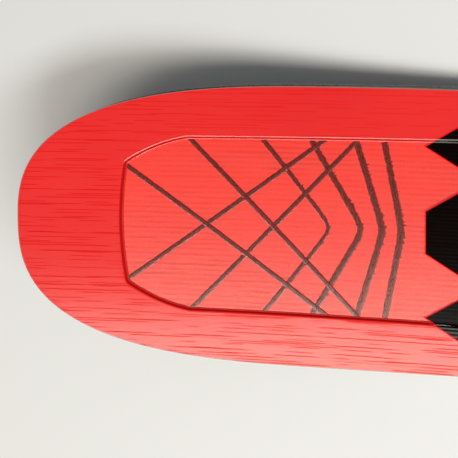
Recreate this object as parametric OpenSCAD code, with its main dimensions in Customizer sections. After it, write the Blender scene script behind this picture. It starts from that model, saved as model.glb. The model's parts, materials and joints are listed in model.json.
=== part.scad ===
// One alpine ski with a strand-reinforced window in the tip.
// x runs from tip (-x) to tail (+x), +y is the skier's right, +z is up.
// The origin is the middle of the length, on the floor the ski lies on.

/* [Overall] */
// Length from tip to tail
length = 1770; // [1470:1:2130]
// Width at the widest point of the shovel
shovel_w = 130; // [108:0.5:156]
// Width at the waist
waist_w = 90; // [75:0.5:108]
// Width at the widest point of the tail
tail_w = 112; // [93:0.5:135]

/* [Plan outline] */
// Length of the rounded tip
tip_len = 150; // [120:1:180]
// Power of the tip's curve where it meets the straight sides
tip_ease = 3; // [2:0.1:4]
// Bluntness of the tip's nose
tip_bluntness = 2.6; // [2:0.1:3.5]
// Distance from the tip to the widest point of the shovel
shovel_at = 180; // [180:1:240]
// Length of the rounded tail
tail_len = 70; // [56:1:90]
// Power of the tail's curve where it meets the sides
tail_ease = 3; // [2:0.1:4]
// Bluntness of the tail's end
tail_bluntness = 4; // [2:0.1:5]
// Distance from the tail's end to its widest point
tail_at = 110; // [90:1:160]
// Distance of the waist behind the middle of the length
waist_back = 45; // [0:1:90]

/* [Side profile] */
// Height of the tip's underside above the floor
tip_rise = 52; // [30:1:70]
// Length of the upturned tip
tip_rocker = 300; // [200:1:400]
// Height of the tail's underside above the floor
tail_rise = 14; // [5:1:30]
// Length of the upturned tail
tail_rocker = 160; // [120:1:250]
// Power of both upturned curves
rocker_power = 2; // [1.8:0.1:2.4]
// Height of the arch under the boot, with the ski unloaded
camber = 4; // [0:0.5:8]
// Length of the flat stretch under the boot
flat_len = 440; // [430:1:500]
// Distance of the boot's middle behind the middle of the length
boot_back = 60; // [0:1:100]

/* [Layers] */
// Thickness of the running base
base_t = 1.3; // [1:0.1:1.8]
// Thickness of the ply between the anchors of the edges, and of those anchors
ply_t = 0.7; // [0.5:0.1:1]
// Thickness of the lower metal sheet and of the rubber strips beside it
sheet_t = 0.3; // [0.2:0.05:0.6]
// Thickness of each glass laminate, below and above the core
laminate_t = 0.5; // [0.4:0.1:1]
// Thickness of the core at the tip
core_tip = 1; // [0.8:0.1:2]
// Thickness of the core under the boot
core_mid = 9.2; // [7:0.1:12]
// Thickness of the core at the tail
core_tail = 1.6; // [0.8:0.1:3]
// Thickness of the glass frame
glass_frame_t = 0.8; // [0.6:0.1:1.2]
// Thickness of the metal frame
metal_frame_t = 0.7; // [0.4:0.1:1]
// Thickness of the topsheet
topsheet_t = 0.5; // [0.3:0.05:0.6]

/* [Edges and sidewalls] */
// Width of the steel edge's body
edge_w = 2; // [1.5:0.1:2.6]
// Width of the anchor that the edge holds by
anchor_w = 5; // [4:0.1:6.5]
// How far the edge stands out past what lies above it
edge_proud = 0.4; // [0.2:0.05:0.8]
// Width of the rubber strips over the edges
rubber_w = 8; // [6:0.5:10]
// Width of the sidewalls at their foot
sidewall_w = 9; // [7:0.5:12]
// How far the topsheet stands back from the edge at tip and tail
lip = 0.6; // [0.4:0.1:1.2]
// How far the topsheet stands back from the edge along the body
bevel_w = 3; // [1.5:0.1:4]
// Length over which the bevel of the sidewalls grows
bevel_run = 250; // [80:1:300]

/* [Core] */
// Width of the middle strip of the core
centre_strip_w = 10; // [8:0.5:14]
// Width of the inner strips
inner_strip_w = 10; // [8:0.5:12]
// Width of the outer strips
outer_strip_w = 10; // [8:0.5:12]
// Length of the plate that holds the binding's screws
plate_len = 340; // [300:1:350]
// Room between that plate and the sidewalls at the waist
plate_gap = 3; // [2:0.5:8]
// Thickness of that plate
plate_t = 1.2; // [0.8:0.1:2]
// Length of the tail protector
protector_len = 16; // [10:0.5:24]

/* [Windows] */
// Distance from the tip to the front window
window_at = 48.2; // [45:0.1:65]
// Half the width of the front window's front edge
window_nose_half = 28.2; // [24:0.1:32]
// Length of the front window's slanting corners
window_shoulder_run = 31.9; // [25:0.1:40]
// Half the width of the front window at its shoulders
window_shoulder_half = 40.3; // [36:0.1:43]
// Distance from the tip to where the window's sides start to follow the rim
window_join_at = 206; // [190:1:230]
// Distance from the tip to the back of the front window
window_end_at = 540; // [420:1:560]
// Width of the rim beside both windows
rim_w = 23.5; // [18:0.1:28.2]
// Distance from the tail's end to the front of the rear window
rear_window_from = 430; // [340:1:460]
// Distance from the tail's end to the back of the rear window
rear_window_to = 46; // [40:0.5:60]
// Half the width of the narrow ends away from tip and tail
window_point_half = 9; // [6:0.5:12]
// Length over which those narrow ends widen
window_point_run = 60; // [40:1:80]
// Half the width of the rear window's end at the tail
rear_nose_half = 22; // [16:0.5:26]
// Length of the rear window's slanting corners
rear_shoulder_run = 30; // [25:0.5:40]
// How far the windows' cross edges bow outwards
window_bow = 2.6; // [0:0.1:3.5]
// How far the windows' slanting corners bow outwards
slant_bow = 1.7; // [0:0.1:2.5]

/* [Strands] */
// Thickness of the mat under the strands
mat_base_t = 0.2; // [0.1:0.05:0.3]
// Thickness of one strand
strand_t = 0.1; // [0.05:0.05:0.1]
// Width of the straight strands
strand_w = 2.3; // [1.5:0.1:4]
// Half the distance between the near ends of the long strands
long_half = 26.8; // [22:0.1:30]
// Distance from the window's front edge to the far end of the long strands
long_reach = 96.8; // [85:0.1:102]
// Distance from the window's front edge to the far end of the short strands
short_reach = 111.6; // [106:0.1:125]
// Radius that rounds the chevrons' points
chevron_round = 3; // [1:0.5:5]

/* [Hidden] */

// The skier's left is -y, the right is +y.
LEFT = -1;
RIGHT = 1;

// Chevrons: distance of their ends and of their point from the window's front edge, and their width
chevrons = [[64, 97, 2.6], [87.4, 112.1, 3.2], [109.3, 122.1, 3.5], [122.8, 131.1, 3.4]];

// Strands lie in three levels: chevrons, then those from the left, then those from the right.
chevron_level = 0;
left_level = 1;
right_level = 2;
strand_levels = 3;

// Room that a cutting shape needs past what it cuts
over = 5;
tall = tip_rise + core_mid + 30;
wide = shovel_w + 40;

waist_d = length / 2 + waist_back;
boot_d = length / 2 + boot_back;
flat_start = boot_d - flat_len / 2;
flat_end = boot_d + flat_len / 2;
plate_w = waist_w - 2 * (sidewall_w + plate_gap);

// Stations along the length, close together where the outline turns
tip_steps = 18;
body_steps = 50;
tail_steps = 12;
function end_spacing(i, n) = pow(1 - cos(90 * i / n), 1.25);
tip_ds = [for (i = [0 : tip_steps - 1]) tip_len * end_spacing(i, tip_steps)];
body_ds = [for (i = [0 : body_steps])
    tip_len + i * (length - tip_len - tail_len) / body_steps];
tail_ds = [for (i = [tail_steps - 1 : -1 : 0])
    length - tail_len * end_spacing(i, tail_steps)];
stations = concat(tip_ds, body_ds, tail_ds);

function x_of(d) = d - length / 2;
function smooth(t) = t <= 0 ? 0 : t >= 1 ? 1 : t * t * (3 - 2 * t);

// Half the width at distance d from the tip
function end_curve(t, ease, bluntness) = pow(1 - pow(1 - t, ease), 1 / bluntness);
function sidecut(u) = 1.5 * (u * u - pow(u, 6) / 3);
function half(d) =
    d < tip_len ? shovel_w / 2 * end_curve(d / tip_len, tip_ease, tip_bluntness)
    : d < shovel_at ? shovel_w / 2
    : d < waist_d ? waist_w / 2
        + (shovel_w - waist_w) / 2 * sidecut((waist_d - d) / (waist_d - shovel_at))
    : d < length - tail_at ? waist_w / 2
        + (tail_w - waist_w) / 2 * sidecut((d - waist_d) / (length - tail_at - waist_d))
    : d < length - tail_len ? tail_w / 2
    : tail_w / 2 * end_curve((length - d) / tail_len, tail_ease, tail_bluntness);

// Height of the underside above the floor
function under(d) =
    d < tip_rocker ? tip_rise * pow(1 - d / tip_rocker, rocker_power)
    : d > length - tail_rocker
        ? tail_rise * pow(1 - (length - d) / tail_rocker, rocker_power)
    : camber * smooth(min((d - tip_rocker) / (flat_start - tip_rocker),
        (length - tail_rocker - d) / (length - tail_rocker - flat_end)));

// Thickness of the core
function core(d) =
    d < flat_start ? core_tip + (core_mid - core_tip) * smooth(d / flat_start)
    : core_tail + (core_mid - core_tail) * smooth((length - d) / (length - flat_end));

// Set-back of the upper layers from the outline
function top_inset(d) = lip + (bevel_w - lip)
    * smooth(min(d - tip_len, length - tail_len - d) / bevel_run);

// A level is a height above the underside and a share of the core's thickness
BELOW = [-over, 0];
UNDER = [0, 0];
BASE_TOP = [base_t, 0];
EDGE_TOP = [base_t + ply_t, 0];
SHEET_TOP = [EDGE_TOP[0] + sheet_t, 0];
LOWER_TOP = [SHEET_TOP[0] + laminate_t, 0];
CORE_TOP = [LOWER_TOP[0], 1];
UPPER_TOP = [CORE_TOP[0] + laminate_t, 1];
STRAND_FLOOR = [UPPER_TOP[0] + mat_base_t, 1];
MAT_TOP = [STRAND_FLOOR[0] + strand_levels * strand_t, 1];
GLASS_TOP = [UPPER_TOP[0] + glass_frame_t, 1];
METAL_TOP = [GLASS_TOP[0] + metal_frame_t, 1];
FLOOR_TOP = [MAT_TOP[0] + topsheet_t, 1];
SKIN_TOP = [METAL_TOP[0] + topsheet_t, 1];
ABOVE = [SKIN_TOP[0] + over, 1];

function z_at(level, d) = under(d) + level[0] + level[1] * core(d);
function strand_level(n) = [STRAND_FLOOR[0] + n * strand_t, 1];

// Closed path, counter-clockwise, moved inwards by its own amount at each point
function unit(v) = v / norm(v);
function inward(v) = [-v[1], v[0]];
function inset_point(before, at, after, amount) =
    let (n1 = inward(unit(at - before)), n2 = inward(unit(after - at)))
    at + (n1 + n2) * amount / (1 + n1 * n2);
function inset_path(path, amounts) =
    let (n = len(path))
    [for (i = [0 : n - 1])
        inset_point(path[(i + n - 1) % n], path[i], path[(i + 1) % n], amounts[i])];

// Mirrors the points of one side, from tip to tail, into a closed path;
// the first and last of them lie on the middle line
function closed(side) = concat(
    [for (p = side) [p[0], -p[1]]],
    [for (i = [len(side) - 2 : -1 : 1]) side[i]]);

ski_side = [for (d = stations) [x_of(d), half(d)]];
ski_path = closed(ski_side);
function outline(amount) = inset_path(ski_path, [for (p = ski_path) amount]);
upper_outline = inset_path(ski_path, [for (p = ski_path) top_inset(p[0] + length / 2)]);

// Points along a curve that bows outwards between a and b
bow_steps = 5;
function bowed(a, b, bow) = [for (i = [1 : bow_steps - 1])
    let (t = i / bow_steps)
    a + (b - a) * t + unit([a[1] - b[1], b[0] - a[0]]) * bow * 4 * t * (1 - t)];

// Half the width of the windows between their shoulders
function window_half(d) = d < window_join_at
    ? window_shoulder_half + (half(window_join_at) - rim_w - window_shoulder_half)
        * (d - window_at - window_shoulder_run)
        / (window_join_at - window_at - window_shoulder_run)
    : half(d) - rim_w;

// A window from d0 to d1, with a half width and a slanting run at each end
function window_side(d0, half0, run0, d1, half1, run1) =
    let (
        a = [x_of(d0) + window_bow, half0],
        b = [x_of(d0 + run0), window_half(d0 + run0)],
        c = [x_of(d1 - run1), window_half(d1 - run1)],
        e = [x_of(d1) - window_bow, half1])
    concat(
        [[x_of(d0), 0]], bowed([x_of(d0), 0], a, window_bow / 4), [a],
        bowed(a, b, slant_bow), [b],
        [for (d = stations) if (d > d0 + run0 + 1 && d < d1 - run1 - 1)
            [x_of(d), window_half(d)]],
        [c], bowed(c, e, slant_bow), [e],
        bowed(e, [x_of(d1), 0], window_bow / 4), [[x_of(d1), 0]]);

front_window = closed(window_side(
    window_at, window_nose_half, window_shoulder_run,
    window_end_at, window_point_half, window_point_run));
rear_window = closed(window_side(
    length - rear_window_from, window_point_half, window_point_run,
    length - rear_window_to, rear_nose_half, rear_shoulder_run));
function window_inside(path) = inset_path(path, [for (p = path) topsheet_t]);

// A straight strand from a corner of the front window to the far side
function straight_strand(side, d0, half0, d1) =
    let (
        a = [x_of(d0), side * half0],
        b = [x_of(d1), -side * window_half(d1)],
        along = unit(b - a),
        across = inward(along) * strand_w / 2)
    [a - along * over - across, b + along * over - across,
        b + along * over + across, a - along * over + across];

// A chevron's middle line at distance y from the ski's middle line, and its two sides
chevron_steps = 24;
function chevron_point(c, y) =
    let (reach = (sqrt(y * y + chevron_round * chevron_round) - chevron_round)
        / window_shoulder_half)
    [x_of(window_at) + c[1] - (c[1] - c[0]) * reach, y];
function chevron_offset(c, y, amount) =
    let (step = 0.1)
    chevron_point(c, y)
        + inward(unit(chevron_point(c, y + step) - chevron_point(c, y - step))) * amount;
function chevron_path(c) =
    let (
        span = window_shoulder_half + over,
        ys = [for (i = [0 : chevron_steps]) span * (2 * i / chevron_steps - 1)])
    concat(
        [for (y = ys) chevron_offset(c, y, -c[2] / 2)],
        [for (i = [chevron_steps : -1 : 0]) chevron_offset(c, ys[i], c[2] / 2)]);

function strand_path(name) =
    name == "long_left" ? straight_strand(LEFT, window_at + window_bow,
        long_half, window_at + long_reach)
    : name == "long_right" ? straight_strand(RIGHT, window_at + window_bow,
        long_half, window_at + long_reach)
    : name == "short_left" ? straight_strand(LEFT, window_at + window_shoulder_run,
        window_shoulder_half, window_at + short_reach)
    : straight_strand(RIGHT, window_at + window_shoulder_run,
        window_shoulder_half, window_at + short_reach);

// Everything between two levels, over the whole length and more than the width
module band(lower, upper) {
    n = len(stations);
    rotate([90, 0, 0])
        linear_extrude(height = wide, center = true)
            polygon(concat(
                [for (d = stations) [x_of(d), z_at(lower, d)]],
                [for (i = [n - 1 : -1 : 0]) [x_of(stations[i]), z_at(upper, stations[i])]]));
}

// Everything above and below a path
module prism(path) {
    translate([0, 0, -over])
        linear_extrude(height = tall)
            polygon(path);
}

module layer(lower, upper, path) {
    intersection() {
        band(lower, upper);
        prism(path);
    }
}

// The whole width between two distances from the tip
module stretch(d0, d1) {
    translate([x_of(d0), -wide / 2, -over])
        cube([d1 - d0, wide, tall]);
}

module one_side(side) {
    translate([-length, side > 0 ? 0 : -wide, -over])
        cube([2 * length, wide, tall]);
}

module base() {
    color("#1d1d20") layer(UNDER, BASE_TOP, outline(edge_w));
}

module edge(side) {
    color("silver")
        intersection() {
            difference() {
                layer(UNDER, EDGE_TOP, ski_path);
                prism(outline(edge_w + anchor_w));
                layer(BELOW, BASE_TOP, outline(edge_w));
            }
            one_side(side);
        }
}

// Plan of a rubber strip, open past the outline so that it is trimmed with its layer
module rubber_plan(side) {
    prism(concat(
        [for (d = body_ds) [x_of(d), side * (half(d) - edge_proud - rubber_w)]],
        [for (i = [body_steps : -1 : 0]) [x_of(body_ds[i]), side * wide / 2]]));
}

module edge_rubber(side) {
    color("#303030")
        intersection() {
            layer(EDGE_TOP, SHEET_TOP, outline(edge_proud));
            rubber_plan(side);
        }
}

module lower_ply() {
    color("#d8d2b8") layer(BASE_TOP, EDGE_TOP, outline(edge_w + anchor_w));
}

module lower_metal_sheet() {
    color("#c8ccd0")
        difference() {
            layer(EDGE_TOP, SHEET_TOP, outline(edge_proud));
            rubber_plan(LEFT);
            rubber_plan(RIGHT);
        }
}

module lower_laminate() {
    color("#e2dcc4") layer(SHEET_TOP, LOWER_TOP, outline(edge_proud));
}

module plate_block() {
    translate([x_of(boot_d) - plate_len / 2, -plate_w / 2, z_at(CORE_TOP, boot_d) - plate_t])
        cube([plate_len, plate_w, plate_t]);
}

// The room that the plate takes from the core, open at the top
module plate_pocket() {
    translate([x_of(boot_d) - plate_len / 2, -plate_w / 2, z_at(CORE_TOP, boot_d) - plate_t])
        cube([plate_len, plate_w, plate_t + over]);
}

// A straight strip of the core, from y0 to y1 from the middle line
module straight_strip(y0, y1, tone) {
    color(tone)
        difference() {
            intersection() {
                band(LOWER_TOP, CORE_TOP);
                translate([x_of(tip_len), y0, -over])
                    cube([length - tip_len - tail_len, y1 - y0, tall]);
            }
            plate_pocket();
        }
}

inner_y = centre_strip_w / 2;
middle_y = inner_y + inner_strip_w;
outer_y = middle_y + outer_strip_w;

module side_strip(side, y0, y1, tone) {
    straight_strip(side > 0 ? y0 : -y1, side > 0 ? y1 : -y0, tone);
}

// The outermost strip of the core, cut to the sidecut
module cut_strip(side) {
    color("#d9b98a")
        difference() {
            layer(LOWER_TOP, CORE_TOP, concat(
                [for (d = body_ds) [x_of(d), side * (half(d) - sidewall_w)]],
                [[x_of(length - tail_len), side * outer_y], [x_of(tip_len), side * outer_y]]));
            plate_pocket();
        }
}

// One section of a sidewall: inner foot, outer foot, outer top, inner top
function sidewall_section(side, d) =
    let (
        x = x_of(d),
        inner = side * (half(d) - sidewall_w),
        foot = side * (half(d) - edge_proud),
        head = side * (half(d) - max(edge_proud, top_inset(d))),
        low = z_at(LOWER_TOP, d),
        high = z_at(CORE_TOP, d))
    [[x, inner, low], [x, foot, low], [x, head, high], [x, inner, high]];

function flipped(faces) = [for (f = faces) [f[2], f[1], f[0]]];

module sidewall(side) {
    corners = 4;
    points = [for (d = body_ds) each sidewall_section(side, d)];
    last = corners * body_steps;
    faces = concat(
        [[0, 1, 2], [0, 2, 3]],
        [for (i = [0 : body_steps - 1], k = [0 : corners - 1])
            let (a = corners * i + k, b = corners * i + (k + 1) % corners)
            each [[a, a + corners, b], [b, a + corners, b + corners]]],
        [[last, last + 2, last + 1], [last, last + 3, last + 2]]);
    color("#232326")
        polyhedron(points = points, faces = side > 0 ? faces : flipped(faces));
}

module tip_spacer() {
    color("#3a3a3c")
        intersection() {
            layer(LOWER_TOP, CORE_TOP, outline(edge_proud));
            stretch(-over, tip_len);
        }
}

module tail_spacer() {
    color("#3a3a3c")
        intersection() {
            layer(LOWER_TOP, CORE_TOP, outline(edge_proud));
            stretch(length - tail_len, length - protector_len);
        }
}

module tail_protector() {
    color("#9aa0a6")
        intersection() {
            layer(LOWER_TOP, CORE_TOP, outline(edge_proud));
            stretch(length - protector_len, length + over);
        }
}

module binding_plate() {
    color("#b9bdc2") plate_block();
}

module upper_laminate() {
    color("#e2dcc4") layer(CORE_TOP, UPPER_TOP, upper_outline);
}

module frame_layer(lower, upper) {
    difference() {
        layer(lower, upper, upper_outline);
        prism(front_window);
        prism(rear_window);
    }
}

module glass_frame() {
    color("#cfd6c6") frame_layer(UPPER_TOP, GLASS_TOP);
}

module metal_frame() {
    color("#c4c8cc") frame_layer(GLASS_TOP, METAL_TOP);
}

module strand(path, n, tone) {
    color(tone)
        intersection() {
            layer(strand_level(n), strand_level(n + 1), front_window);
            prism(path);
        }
}

module straight(name, n) {
    strand(strand_path(name), n, "#4a2a26");
}

module chevron(i) {
    strand(chevron_path(chevrons[i]), chevron_level, "#4a2a26");
}

// The channel that a strand of level n lies in; the top level's is open
module channel(path, n) {
    intersection() {
        band(strand_level(n), n < strand_levels - 1 ? strand_level(n + 1) : ABOVE);
        prism(path);
    }
}

module strand_mat() {
    color("#ff5a50")
        difference() {
            layer(UPPER_TOP, MAT_TOP, front_window);
            for (c = chevrons) channel(chevron_path(c), chevron_level);
            channel(strand_path("long_left"), left_level);
            channel(strand_path("short_left"), left_level);
            channel(strand_path("long_right"), right_level);
            channel(strand_path("short_right"), right_level);
        }
}

module rear_mat() {
    color("#ff5a50") layer(UPPER_TOP, MAT_TOP, rear_window);
}

// The skin over the frame, down the walls of both windows and over their floors
module topsheet() {
    color("#e6322f")
        difference() {
            layer(MAT_TOP, SKIN_TOP, upper_outline);
            difference() {
                band(UPPER_TOP, METAL_TOP);
                prism(front_window);
                prism(rear_window);
            }
            layer(FLOOR_TOP, ABOVE, window_inside(front_window));
            layer(FLOOR_TOP, ABOVE, window_inside(rear_window));
        }
}

base();
edge(LEFT);  // edge_left
edge(RIGHT);  // edge_right
edge_rubber(LEFT);  // edge_rubber_left
edge_rubber(RIGHT);  // edge_rubber_right
lower_ply();
lower_metal_sheet();
lower_laminate();
straight_strip(-inner_y, inner_y, "#e3cba0");  // stringer_centre
side_strip(LEFT, inner_y, middle_y, "#b98d5c");  // stringer_left_1
side_strip(LEFT, middle_y, outer_y, "#e3cba0");  // stringer_left_2
cut_strip(LEFT);  // stringer_left_3
side_strip(RIGHT, inner_y, middle_y, "#b98d5c");  // stringer_right_1
side_strip(RIGHT, middle_y, outer_y, "#e3cba0");  // stringer_right_2
cut_strip(RIGHT);  // stringer_right_3
sidewall(LEFT);  // sidewall_left
sidewall(RIGHT);  // sidewall_right
tip_spacer();
tail_spacer();
tail_protector();
binding_plate();
upper_laminate();
glass_frame();
metal_frame();
strand_mat();
straight("long_left", left_level);  // strand_long_left
straight("long_right", right_level);  // strand_long_right
straight("short_left", left_level);  // strand_short_left
straight("short_right", right_level);  // strand_short_right
chevron(0);  // chevron_1
chevron(1);  // chevron_2
chevron(2);  // chevron_3
chevron(3);  // chevron_4
rear_mat();
topsheet();
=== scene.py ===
"""The looks of an alpine ski: red skin over a stepped rim, clear front window over fibre strands,
steel edges, bevelled sidewalls and a ground base. Measures are millimetres until a mesh is made."""
import json
import math
import random

import bpy
import numpy as np
from mathutils import Matrix, Vector
from mathutils.geometry import delaunay_2d_cdt


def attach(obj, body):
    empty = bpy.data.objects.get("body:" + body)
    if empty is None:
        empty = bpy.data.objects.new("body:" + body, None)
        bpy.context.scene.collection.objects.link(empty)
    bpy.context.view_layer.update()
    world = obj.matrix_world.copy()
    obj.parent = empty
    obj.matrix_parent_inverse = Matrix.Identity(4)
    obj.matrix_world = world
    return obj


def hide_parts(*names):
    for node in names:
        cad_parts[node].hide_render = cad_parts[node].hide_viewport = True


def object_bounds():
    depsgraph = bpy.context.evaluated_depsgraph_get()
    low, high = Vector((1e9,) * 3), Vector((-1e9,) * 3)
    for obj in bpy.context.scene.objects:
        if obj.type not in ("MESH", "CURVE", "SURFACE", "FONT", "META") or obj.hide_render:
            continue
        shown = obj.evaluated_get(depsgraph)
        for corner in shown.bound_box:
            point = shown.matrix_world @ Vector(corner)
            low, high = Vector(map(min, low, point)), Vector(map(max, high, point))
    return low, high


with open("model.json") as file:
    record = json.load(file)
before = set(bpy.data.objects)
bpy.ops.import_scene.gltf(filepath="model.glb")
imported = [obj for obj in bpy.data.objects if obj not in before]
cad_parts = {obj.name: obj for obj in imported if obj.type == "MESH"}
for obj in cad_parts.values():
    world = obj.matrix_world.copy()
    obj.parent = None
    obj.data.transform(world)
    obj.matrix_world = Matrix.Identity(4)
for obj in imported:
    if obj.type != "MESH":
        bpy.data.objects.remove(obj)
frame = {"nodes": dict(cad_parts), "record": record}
cad_low, cad_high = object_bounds()

# ---------------------------------------------------------------- measures of the ski
MM = 0.001
LENGTH = (cad_high.x - cad_low.x) / MM
SHOVEL_W = (cad_high.y - cad_low.y) / MM
WAIST_W = 90.0
TAIL_W = 112.0
TIP_LEN = 150.0
TAIL_LEN = 70.0
TIP_EASE, TIP_BLUNT = 3.0, 2.6
TAIL_EASE, TAIL_BLUNT = 3.0, 4.0
SHOVEL_AT = 180.0
TAIL_AT = 110.0
WAIST_D = LENGTH / 2 + 45.0
BOOT_D = LENGTH / 2 + 60.0
FLAT_HALF = 220.0

TIP_RISE, TIP_ROCKER = 52.0, 300.0
TAIL_RISE, TAIL_ROCKER = 14.0, 160.0
CAMBER = 4.0
CORE_TIP, CORE_MID, CORE_TAIL = 1.0, 9.2, 1.6

BASE_T, PLY_T, SHEET_T, LAMINATE_T = 1.3, 0.7, 0.3, 0.5
GLASS_T, METAL_T, SKIN_T = 0.8, 0.7, 0.5
MAT_BASE_T, STRAND_T, STRAND_LEVELS = 0.2, 0.1, 3

EDGE_W, ANCHOR_W, EDGE_PROUD = 2.0, 5.0, 0.4
SIDEWALL_W = 9.0
LIP, BEVEL_W, BEVEL_RUN = 0.6, 3.0, 250.0
PROTECTOR_LEN = 16.0

WINDOW_AT, WINDOW_END = 48.2, 540.0
NOSE_HALF, SHOULDER_RUN, SHOULDER_HALF = 28.2, 31.9, 40.3
JOIN_AT, RIM_W = 206.0, 23.5
POINT_HALF, POINT_RUN = 9.0, 60.0
REAR_FROM, REAR_TO = LENGTH - 430.0, LENGTH - 46.0
REAR_NOSE_HALF, REAR_SHOULDER_RUN = 22.0, 30.0
WINDOW_BOW, SLANT_BOW = 2.6, 1.7
CORNER_ROUND = 3.0  # radius of the windows' corners in plan

# Heights above the underside, and the share of the core's thickness added to them
UNDER = (0.0, 0)
BASE_TOP = (BASE_T, 0)
EDGE_TOP = (BASE_T + PLY_T, 0)
SHEET_TOP = (EDGE_TOP[0] + SHEET_T, 0)
LOWER_TOP = (SHEET_TOP[0] + LAMINATE_T, 0)
CORE_TOP = (LOWER_TOP[0], 1)
UPPER_TOP = (CORE_TOP[0] + LAMINATE_T, 1)
STRAND_FLOOR = (UPPER_TOP[0] + MAT_BASE_T, 1)
MAT_TOP = (STRAND_FLOOR[0] + STRAND_LEVELS * STRAND_T, 1)
GLASS_TOP = (UPPER_TOP[0] + GLASS_T, 1)
METAL_TOP = (GLASS_TOP[0] + METAL_T, 1)
FLOOR_TOP = (MAT_TOP[0] + SKIN_T, 1)
SKIN_TOP = (METAL_TOP[0] + SKIN_T, 1)

# The step down from rim to window floor: its rings' distances outside the frame's wall, and the
# share of the whole drop that is reached at some of them
STEP_AT = [0.75, 0.65, 0.53, 0.42, 0.30, 0.16, 0.02,
           -0.12, -0.27, -0.42, -0.55, -0.63, -0.71, -0.80]
STEP_KNOTS = [(-0.80, 1.0), (-0.55, 0.96), (-0.42, 0.88), (-0.12, 0.44), (0.30, 0.06), (0.75, 0.0)]
STEP_IN = 0.80
FLAT_BAND = 0.15  # width of the flat rings beside a curved stretch
ROUND_R = 0.25  # rounding of the topsheet's outer edge
ROUND_ANGLES = (0.0, 30.0, 60.0, 90.0)
ON_FRAME = 0.45  # share of the drop above which the skin's underside lies on the metal frame
SKIN_LEAST = 0.05  # least thickness of the skin on the step
GRID = 7.0  # spacing of the points that fill a sheet
GRID_CLEAR = 0.45  # share of that spacing kept free along a border


def smooth(t):
    t = min(1.0, max(0.0, t))
    return t * t * (3 - 2 * t)


def end_curve(t, ease, blunt):
    return max(0.0, 1 - (1 - t) ** ease) ** (1 / blunt)


def sidecut(u):
    return 1.5 * (u * u - u ** 6 / 3)


def half_width(d):
    """Half the ski's width at distance d from the tip."""
    d = min(LENGTH, max(0.0, d))
    if d < TIP_LEN:
        return SHOVEL_W / 2 * end_curve(d / TIP_LEN, TIP_EASE, TIP_BLUNT)
    if d < SHOVEL_AT:
        return SHOVEL_W / 2
    if d < WAIST_D:
        u = (WAIST_D - d) / (WAIST_D - SHOVEL_AT)
        return WAIST_W / 2 + (SHOVEL_W - WAIST_W) / 2 * sidecut(u)
    if d < LENGTH - TAIL_AT:
        u = (d - WAIST_D) / (LENGTH - TAIL_AT - WAIST_D)
        return WAIST_W / 2 + (TAIL_W - WAIST_W) / 2 * sidecut(u)
    if d < LENGTH - TAIL_LEN:
        return TAIL_W / 2
    return TAIL_W / 2 * end_curve((LENGTH - d) / TAIL_LEN, TAIL_EASE, TAIL_BLUNT)


def underside(d):
    """Height of the underside above the floor."""
    if d < TIP_ROCKER:
        return TIP_RISE * (1 - d / TIP_ROCKER) ** 2
    if d > LENGTH - TAIL_ROCKER:
        return TAIL_RISE * (1 - (LENGTH - d) / TAIL_ROCKER) ** 2
    front = (d - TIP_ROCKER) / (BOOT_D - FLAT_HALF - TIP_ROCKER)
    back = (LENGTH - TAIL_ROCKER - d) / (LENGTH - TAIL_ROCKER - BOOT_D - FLAT_HALF)
    return CAMBER * smooth(min(front, back))


def core(d):
    """Thickness of the core."""
    if d < BOOT_D - FLAT_HALF:
        return CORE_TIP + (CORE_MID - CORE_TIP) * smooth(d / (BOOT_D - FLAT_HALF))
    back = smooth((LENGTH - d) / (LENGTH - BOOT_D - FLAT_HALF))
    return CORE_TAIL + (CORE_MID - CORE_TAIL) * back


def top_inset(d):
    """Set-back of the upper layers from the outline."""
    grown = smooth(min(d - TIP_LEN, LENGTH - TAIL_LEN - d) / BEVEL_RUN)
    return LIP + (BEVEL_W - LIP) * grown


def height(level, d):
    """Height of a level above the floor."""
    return underside(d) + level[0] + level[1] * core(d)


def window_half(d):
    """Half the width of the windows between their shoulders."""
    if d < JOIN_AT:
        t = (d - WINDOW_AT - SHOULDER_RUN) / (JOIN_AT - WINDOW_AT - SHOULDER_RUN)
        return SHOULDER_HALF + (half_width(JOIN_AT) - RIM_W - SHOULDER_HALF) * t
    return half_width(d) - RIM_W


# ---------------------------------------------------------------- paths in plan
def stations():
    """Distances from the tip, close together where the outline turns."""
    tip_n, body_n, tail_n = 48, 220, 30

    def spread(i, n):
        return (1 - math.cos(math.pi / 2 * i / n)) ** 1.25

    tip = [TIP_LEN * spread(i, tip_n) for i in range(tip_n)]
    body = [TIP_LEN + i * (LENGTH - TIP_LEN - TAIL_LEN) / body_n for i in range(body_n + 1)]
    tail = [LENGTH - TAIL_LEN * spread(i, tail_n) for i in range(tail_n - 1, -1, -1)]
    return tip + body + tail


STATIONS = stations()
BODY = [d for d in STATIONS if TIP_LEN - 0.01 <= d <= LENGTH - TAIL_LEN + 0.01]


def closed(side):
    """A closed counter-clockwise path from the points of one side, tip to tail."""
    return np.array([(d, -y) for d, y in side] + [(d, y) for d, y in side[-2:0:-1]])


def inward(steps):
    """Unit normals on the left of each step."""
    return np.stack([-steps[:, 1], steps[:, 0]], 1) / np.linalg.norm(steps, axis=1)[:, None]


def inset(path, amounts):
    """The path moved inwards by its own amount at each point."""
    before, after = np.roll(path, 1, 0), np.roll(path, -1, 0)
    n1, n2 = inward(path - before), inward(after - path)
    share = np.asarray(amounts) / (1 + (n1 * n2).sum(1))
    return path + (n1 + n2) * share[:, None]


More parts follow.
